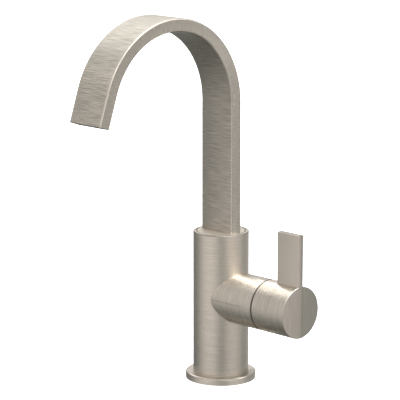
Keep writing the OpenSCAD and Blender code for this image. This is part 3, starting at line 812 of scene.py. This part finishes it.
def ribbon_surface(shape):
    """A closed tube wall. Point = line(s) + (section - inset * normal), with the section's second
    axis turned as the line turns. Returns points, faces, the grain's UV map and the marks."""
    section, normals, around = rounded_section(
        shape.width, shape.thickness, shape.edge, shape.corner_steps
    )
    y, z, turned, s = ribbon_line(shape)
    along, inset = wall_rows(shape, s)
    line_y, line_z, line_turned = (np.interp(along, s, v)[:, None] for v in (y, z, turned))
    flat_x = section[None, :, 0] - inset[:, None] * normals[None, :, 0]
    flat_y = section[None, :, 1] - inset[:, None] * normals[None, :, 1]
    points = np.stack(
        [flat_x, line_y + flat_y * np.cos(line_turned), line_z + flat_y * np.sin(line_turned)], 2
    )
    rows, columns = flat_x.shape
    faces = grid_faces(rows, columns, True, True)[:, ::-1]
    i, j = np.divmod(np.arange(rows * columns), columns)
    u0, u1 = around[j], around[j + 1]
    v0, v1 = along[i], along[(i + 1) % rows]
    grain = np.stack([[u0, v1], [u1, v1], [u1, v0], [u0, v0]], 0).transpose(2, 0, 1)
    marks = {
        name: np.broadcast_to(mark, (rows, columns))
        for name, mark in ribbon_marks(shape, section, normals).items()
    }
    return points.reshape(-1, 3), faces, grain, marks


# Radius of the ribbon's bend, along its middle
BEND_RADIUS = 68 * MM


class RibbonShape(bpy.types.PropertyGroup):
    """Sizes of the ribbon spout."""

    width: FloatProperty(
        name="Width",
        description="Width of the ribbon",
        default=SPOUT_HIGH.x - SPOUT_LOW.x,
        unit="LENGTH",
    )
    thickness: FloatProperty(
        name="Thickness",
        description="Thickness of the ribbon",
        default=2 * SPOUT_HIGH.y,
        unit="LENGTH",
    )
    edge: FloatProperty(
        name="Edge",
        description="Rounding of the long edges",
        default=1.2 * MM,
        unit="LENGTH",
    )
    wall: FloatProperty(
        name="Wall", description="Wall of the ribbon", default=1.0 * MM, unit="LENGTH"
    )
    lip: FloatProperty(
        name="Lip",
        description="Rounding of the wall's end at the outlet",
        default=0.22 * MM,
        unit="LENGTH",
    )
    bend_radius: FloatProperty(
        name="Bend radius",
        description="Radius of the bend along the ribbon's middle",
        default=BEND_RADIUS,
        unit="LENGTH",
    )
    bend_start: FloatProperty(
        name="Bend start",
        description="Height at which the bend starts",
        default=SPOUT_HIGH.z - BEND_RADIUS - SPOUT_HIGH.y,
        unit="LENGTH",
    )
    bend_angle: FloatProperty(
        name="Bend angle",
        description="Angle of the bend",
        default=math.radians(161),
        subtype="ANGLE",
    )
    tip_length: FloatProperty(
        name="Tip length",
        description="Straight length after the bend",
        default=26.5 * MM,
        unit="LENGTH",
    )
    bend_steps: IntProperty(
        name="Bend steps", description="Steps round the bend", default=200, min=24
    )
    corner_steps: IntProperty(
        name="Corner steps", description="Steps round each long edge", default=8, min=2
    )


class NickelLook(bpy.types.PropertyGroup):
    """Tones and grain of the brushed nickel and of the brass under it."""

    light_tone: FloatVectorProperty(
        name="Light tone",
        description="Nickel on the crests of the grain",
        subtype="COLOR",
        default=(0.816, 0.748, 0.650),
    )
    dark_tone: FloatVectorProperty(
        name="Dark tone",
        description="Nickel in the grooves of the grain",
        subtype="COLOR",
        default=(0.464, 0.412, 0.354),
    )
    # Tone of painted highlights
    sheen_tone: FloatVectorProperty(
        name="Worn tone",
        description="Nickel that is polished",
        subtype="COLOR",
        default=(0.84, 0.78, 0.70),
    )
    roughness: FloatProperty(
        name="Roughness", description="Mean roughness", default=0.30, min=0, max=1
    )
    hair_pitch: FloatProperty(
        name="Hairline pitch",
        description="Distance between hairlines",
        default=0.22 * MM,
        unit="LENGTH",
    )
    streak_pitch: FloatProperty(
        name="Streak pitch",
        description="Distance between the streaks that show",
        default=0.9 * MM,
        unit="LENGTH",
    )
    groove_depth: FloatProperty(
        name="Groove depth",
        description="Depth of the hairlines",
        default=0.12 * MM,
        unit="LENGTH",
    )
    streak_depth: FloatProperty(
        name="Streak depth",
        description="Depth of the streaks that show",
        default=0.03 * MM,
        unit="LENGTH",
    )
    # Tones of painted shade, on the crests and in the grooves of the grain
    shade_tone: FloatVectorProperty(
        name="Dull tone",
        description="Crests of the grain where the nickel is dull",
        subtype="COLOR",
        default=(0.445, 0.400, 0.350),
    )
    shade_dark_tone: FloatVectorProperty(
        name="Dull dark tone",
        description="Grooves of the grain where the nickel is dull",
        subtype="COLOR",
        default=(0.302, 0.281, 0.240),
    )
    # Tone of the deeper painted shade in joints and gaps, along edges and in lines
    deep_shade_tone: FloatVectorProperty(
        name="Joint tone",
        description="Nickel in the shade of joints and gaps",
        subtype="COLOR",
        default=(0.06, 0.05, 0.04),
    )
    brass_light: FloatVectorProperty(
        name="Brass light tone",
        description="Bare brass, light",
        subtype="COLOR",
        default=(0.78, 0.62, 0.33),
    )
    brass_dark: FloatVectorProperty(
        name="Brass dark tone",
        description="Bare brass, dark",
        subtype="COLOR",
        default=(0.58, 0.44, 0.21),
    )


class StudioSetting(bpy.types.PropertyGroup):
    """Camera, floor and light."""

    azimuth: FloatProperty(
        name="Azimuth",
        description="Camera's bearing, zero looking along +Y",
        default=math.radians(45.026),
        subtype="ANGLE",
    )
    elevation: FloatProperty(
        name="Elevation",
        description="Camera's angle above the horizon",
        default=math.radians(11.948),
        subtype="ANGLE",
    )
    distance: FloatProperty(
        name="Distance",
        description="Camera to the point it looks at",
        default=1.6788,
        unit="LENGTH",
    )
    lens: FloatProperty(name="Lens", description="Focal length in millimetres", default=185.1)
    aim: FloatVectorProperty(
        name="Aim",
        description="The point that the camera looks at",
        subtype="XYZ",
        unit="LENGTH",
        default=(-0.032979, 0.009007, 0.140337),
    )
    key_strength: FloatProperty(
        name="Key",
        description="Brightness of the softboxes and of the strip light",
        default=1.0,
        min=0,
    )
    surround: FloatProperty(
        name="Surround", description="Brightness of the studio's walls", default=1.0, min=0
    )
    floor_radius: FloatProperty(
        name="Floor radius", description="Radius of the pale floor", default=6.0, unit="LENGTH"
    )


class MIXER_OT_ribbon_spout(bpy.types.Operator):
    """Build the smooth ribbon spout in place of the faceted one"""

    bl_idname = "mixer.ribbon_spout"
    bl_label = "Ribbon spout"

    def execute(self, context):
        points, faces, grain, marks = ribbon_surface(context.scene.mixer_ribbon)
        piece = add_mesh("ribbon_spout", points, faces)
        for name, values in marks.items():
            attribute = piece.data.attributes.new(name, "FLOAT", "POINT")
            attribute.data.foreach_set("value", values.astype(np.float32).ravel())
        uv = piece.data.uv_layers.new(name="grain")
        uv.data.foreach_set("uv", grain.astype(np.float32).ravel())
        piece.data.materials.append(finish("nickel_ribbon", ribbon_paint))
        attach(piece, "spout")
        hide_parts("spout_tube")
        return {"FINISHED"}


class MIXER_OT_bodies(bpy.types.Operator):
    """Brush the column, the base flange and the swivel disc"""

    bl_idname = "mixer.bodies"
    bl_label = "Column, flange and swivel"

    def execute(self, context):
        dress("column", finish("nickel_column", column_paint))
        dress("base_flange", finish("nickel_flange", flange_paint))
        dress("swivel_hub", finish("nickel_swivel", swivel_paint))
        return {"FINISHED"}


class MIXER_OT_handle(bpy.types.Operator):
    """Brush the handle's hub, its blade and the cap over its screw"""

    bl_idname = "mixer.handle"
    bl_label = "Handle"

    def execute(self, context):
        dress("handle_hub", finish("nickel_hub", hub_paint))
        dress("screw_cap", finish("nickel_hub", hub_paint))
        dress("lever_blade", finish("nickel_blade", blade_paint))
        return {"FINISHED"}


class MIXER_OT_inner_parts(bpy.types.Operator):
    """Finish the cartridge, the seals, the screws and the outlet"""

    bl_idname = "mixer.inner_parts"
    bl_label = "Cartridge, seals and outlet"

    def execute(self, context):
        dress_plain_nodes()
        dress("glide_ring", finish("glide_ring", GLIDE_RING_FINISH))
        return {"FINISHED"}


# Brightness of the studio's walls by their bearing from the part, in degrees: the camera stands
# at 0, and 90 is on its right. A smooth ramp cuts what goes over 1
WALLS = [
    (-180, 0.72),
    (-160, 0.36),
    (-142, 0.24),
    (-115, 0.32),
    (-93, 0.60),
    (-70, 1.02),
    (-46, 1.34),
    (-26, 1.16),
    (-12, 0.62),
    (0, 0.26),
    (12, 0.48),
    (30, 0.98),
    (52, 0.92),
    (74, 0.84),
    (92, 0.56),
    (112, 0.38),
    (134, 0.60),
    (160, 0.68),
    (180, 0.72),
]
# What that brightness is multiplied by at each height, the sine of the angle above the horizon
HEIGHTS = [
    (-1.0, 0.24),
    (-0.75, 0.42),
    (-0.5, 0.66),
    (-0.2, 0.96),
    (0.0, 1.0),
    (0.3, 1.05),
    (0.6, 1.1),
    (1.0, 1.1),
]
# The levels by height go through their ramp this many times smaller, so that none is cut
HEIGHT_SCALE = 2.0
# Each softbox: the direction in which it hangs, the angle round that within which it is full, the
# angle at which it has faded, and its brightness
SOFTBOXES = [
    ((0.60, -0.28, 0.75), 8, 27, 1.9),
    ((-0.69, 0.69, 0.21), 6, 34, 0.1),
]
# The strip light hangs overhead along X. How far it leans to the back, the angle from its middle
# line within which it is full and that at which it has faded, and the heights, as sines again,
# between which it starts
STRIP_LEAN = 15.5
STRIP_FULL, STRIP_FADED = 15, 28
STRIP_START = (0.35, 0.65)
# Its brightness at its end towards -X, how much more it has at the other, and where that begins
# and ends
STRIP_LEVEL = 2.79
STRIP_GAIN = 2.17
STRIP_CHANGE = (-0.6, 0.2)
# Tint of the light by its brightness: dim light is a little green, the walls a little pink, then
# a little yellow, and the brightest light a little blue. The positions are this share of the level
TINT_SCALE = 0.4
LIGHT_TINTS = [
    (0.18, (0.94, 1.0, 0.985, 1.0)),
    (0.23, (0.995, 0.975, 0.975, 1.0)),
    (0.32, (1.0, 0.975, 0.975, 1.0)),
    (0.44, (1.0, 0.985, 0.975, 1.0)),
    (0.60, (1.0, 1.0, 0.98, 1.0)),
    (1.00, (0.97, 0.995, 1.0, 1.0)),
]
# Rings and spokes of the floor's mesh, and how far it lies below the part's foot
FLOOR_RINGS = 23
FLOOR_SPOKES = 96
FLOOR_DROP = 0.05 * MM
# The width of the camera's film in millimetres, and the nearest and farthest that it sees
FILM_WIDTH = 36.0
NEAREST, FARTHEST = 0.05, 30.0
WHITE = (1.0, 1.0, 1.0, 1.0)


def wall_light(sheet, x, y, z):
    """Brightness of the walls in a direction: a level by bearing times one by height."""
    to_camera = (x - y) * math.sqrt(0.5)
    to_right = (x + y) * math.sqrt(0.5)
    bearing = to_right.atan2(to_camera) / (2 * math.pi) + 0.5
    by_bearing = sheet.ramp([((degrees + 180) / 360, level) for degrees, level in WALLS], bearing)
    by_height = sheet.ramp(
        [((sine + 1) / 2, level / HEIGHT_SCALE) for sine, level in HEIGHTS], z * 0.5 + 0.5
    )
    return by_bearing * by_height * HEIGHT_SCALE


def softbox_light(x, y, z):
    """Brightness of the softboxes in a direction: the nearer to a softbox's middle, the more."""
    light = 0.0
    for aim, full, faded, level in SOFTBOXES:
        aim = Vector(aim).normalized()
        facing = x * aim.x + y * aim.y + z * aim.z
        glow = facing.rise(math.cos(math.radians(faded)), math.cos(math.radians(full)))
        light = glow * level + light
    return light


def strip_light(x, y, z):
    """Brightness of the strip light in a direction: full near its middle line, none far from it."""
    lean = math.radians(STRIP_LEAN)
    off_line = abs(y * math.cos(lean) - z * math.sin(lean))
    glow = 1.0 - off_line.rise(
        math.sin(math.radians(STRIP_FULL)), math.sin(math.radians(STRIP_FADED))
    )
    return glow * z.rise(*STRIP_START) * (x.rise(*STRIP_CHANGE) * STRIP_GAIN + STRIP_LEVEL)


def studio_world(setting):
    """Light as a smooth function of direction: the walls, the softboxes and the strip light. The
    camera itself sees plain white."""
    world = bpy.data.worlds.new("studio")
    bpy.context.scene.world = world
    world.use_nodes = True
    sheet = Sheet(world.node_tree)
    x, y, z = sheet.split(sheet.node("ShaderNodeTexCoord", output="Generated"))
    lamps = softbox_light(x, y, z) + strip_light(x, y, z)
    level = wall_light(sheet, x, y, z) * setting.surround + lamps * setting.key_strength
    tint = sheet.node("ShaderNodeValToRGB", {"stops": LIGHT_TINTS}, {0: level * TINT_SCALE})
    lit = sheet.node("ShaderNodeBackground", {}, {"Color": tint, "Strength": level})
    plain = sheet.node("ShaderNodeBackground", {}, {"Color": WHITE, "Strength": 1.0})
    seen = sheet.node("ShaderNodeLightPath", output="Is Camera Ray")
    both = sheet.node("ShaderNodeMixShader", {}, {0: seen, 1: lit, 2: plain})
    sheet.node("ShaderNodeOutputWorld", {}, {"Surface": both})


def floor_paint(sheet):
    """Pale studio floor with a faint mottle."""
    return {
        "Base Color": sheet.tint(sheet.mottle(9.0), colour((0.80,) * 3), colour((0.84,) * 3)),
        "Roughness": 0.9,
        "Emission Color": WHITE,
        "Emission Strength": 0.72,
    }


def add_floor(radius):
    """A flat disc: rings of points at equal distances, and a fan of faces round its middle."""
    rings = np.linspace(0.0, radius, FLOOR_RINGS + 1)[1:, None]
    turn = np.linspace(0.0, 2 * np.pi, FLOOR_SPOKES, endpoint=False)[None, :]
    x, y = rings * np.cos(turn), rings * np.sin(turn)
    ring_points = np.stack([x, y, np.full_like(x, -FLOOR_DROP)], 2).reshape(-1, 3)
    points = np.concatenate([ring_points, [[0.0, 0.0, -FLOOR_DROP]]])
    faces = grid_faces(FLOOR_RINGS, FLOOR_SPOKES, False, True)[:, ::-1]
    spoke = np.arange(FLOOR_SPOKES)
    middle = np.full(FLOOR_SPOKES, len(ring_points))
    fan = np.stack([spoke, (spoke + 1) % FLOOR_SPOKES, middle], 1)
    floor = bpy.data.meshes.new("pale_floor")
    floor.from_pydata(points.tolist(), [], faces.tolist() + fan.tolist())
    floor.materials.append(finish("pale_floor", floor_paint))
    floor_piece = bpy.data.objects.new("pale_floor", floor)
    bpy.context.scene.collection.objects.link(floor_piece)
    floor_piece.visible_glossy = False


def add_camera(setting):
    """A camera that looks at the aim from this bearing, angle above the horizon and distance."""
    camera = bpy.data.objects.new("camera", bpy.data.cameras.new("camera"))
    bpy.context.scene.collection.objects.link(camera)
    camera.data.lens = setting.lens
    camera.data.sensor_width = FILM_WIDTH
    camera.data.clip_start, camera.data.clip_end = NEAREST, FARTHEST
    a, e = setting.azimuth, setting.elevation
    back = Vector((math.sin(a) * math.cos(e), -math.cos(a) * math.cos(e), math.sin(e)))
    camera.location = Vector(setting.aim) + back * setting.distance
    camera.rotation_mode = "QUATERNION"
    camera.rotation_quaternion = (-back).to_track_quat("-Z", "Y")
    bpy.context.scene.camera = camera


class MIXER_OT_studio(bpy.types.Operator):
    """Set the pale floor, the soft light and the camera"""

    bl_idname = "mixer.studio"
    bl_label = "Studio"

    def execute(self, context):
        setting = context.scene.mixer_studio
        add_floor(setting.floor_radius)
        studio_world(setting)
        add_camera(setting)
        context.scene.view_settings.view_transform = "Standard"
        return {"FINISHED"}


class MIXER_PT_panel(bpy.types.Panel):
    """Lists the sizes, the tones and the operators"""

    bl_idname = "MIXER_PT_panel"
    bl_label = "Basin mixer"
    bl_space_type = "VIEW_3D"
    bl_region_type = "UI"
    bl_category = "Mixer"

    def draw(self, context):
        for operator in OPERATORS:
            self.layout.operator(operator.bl_idname)
        for group in GROUPS:
            box = self.layout.box()
            values = getattr(context.scene, group)
            for name in values.bl_rna.properties.keys():
                if name not in ("rna_type", "name"):
                    box.prop(values, name)


GROUPS = {
    "mixer_ribbon": RibbonShape,
    "mixer_nickel": NickelLook,
    "mixer_studio": StudioSetting,
}
OPERATORS = (
    MIXER_OT_ribbon_spout,
    MIXER_OT_bodies,
    MIXER_OT_handle,
    MIXER_OT_inner_parts,
    MIXER_OT_studio,
)


def register():
    for cls in (*GROUPS.values(), *OPERATORS, MIXER_PT_panel):
        bpy.utils.register_class(cls)
    for name, cls in GROUPS.items():
        setattr(bpy.types.Scene, name, PointerProperty(type=cls))


def unregister():
    for name in GROUPS:
        delattr(bpy.types.Scene, name)
    for cls in (MIXER_PT_panel, *OPERATORS[::-1], *list(GROUPS.values())[::-1]):
        bpy.utils.unregister_class(cls)


def main():
    register()
    bpy.ops.mixer.ribbon_spout()
    bpy.ops.mixer.bodies()
    bpy.ops.mixer.handle()
    bpy.ops.mixer.inner_parts()
    bpy.ops.mixer.studio()


if __name__ == "__main__":
    main()
